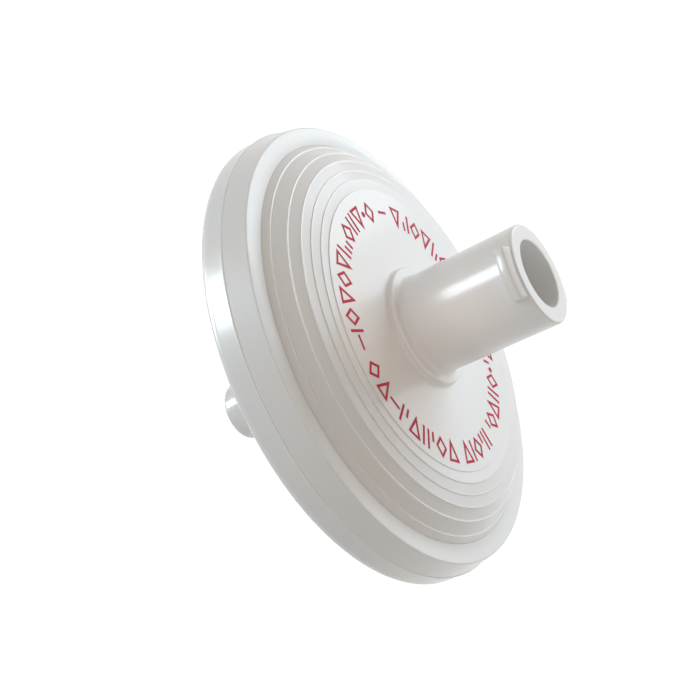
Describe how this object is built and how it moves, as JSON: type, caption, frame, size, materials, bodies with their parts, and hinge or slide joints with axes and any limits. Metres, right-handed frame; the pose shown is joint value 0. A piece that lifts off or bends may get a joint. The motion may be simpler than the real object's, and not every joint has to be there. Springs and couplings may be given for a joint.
{
  "type": "syringe filter",
  "caption": "Disc syringe filter with a stepped round housing, female locking Luer inlet and tapered male Luer slip outlet, holding graded prefilters over a membrane.",
  "frame": {"origin": "centre of the inlet's mouth, where the syringe's tip enters", "axes": "+Z along the flow axis, out of the inlet's mouth; +X through one locking lug"},
  "size_m": [0.0302, 0.0302, 0.0233],
  "materials": {
    "shell_plastic": "natural translucent polypropylene, satin to glossy",
    "band_plastic": "natural milky polypropylene, satin",
    "glass_fibre": "matt glass fibre felt",
    "membrane_film": "smooth matt white film",
    "print_ink": "red pad-printed ink"
  },
  "bodies": {
    "root": {"inlet_hub": "shell_plastic", "inlet_housing": "shell_plastic", "spread_ribs": "shell_plastic", "outlet_housing": "shell_plastic", "support_ribs": "shell_plastic", "rim_band": "band_plastic", "prefilter_coarse": "glass_fibre", "prefilter_medium": "glass_fibre", "prefilter_fine": "glass_fibre", "membrane": "membrane_film"}
  },
  "joints": []
}
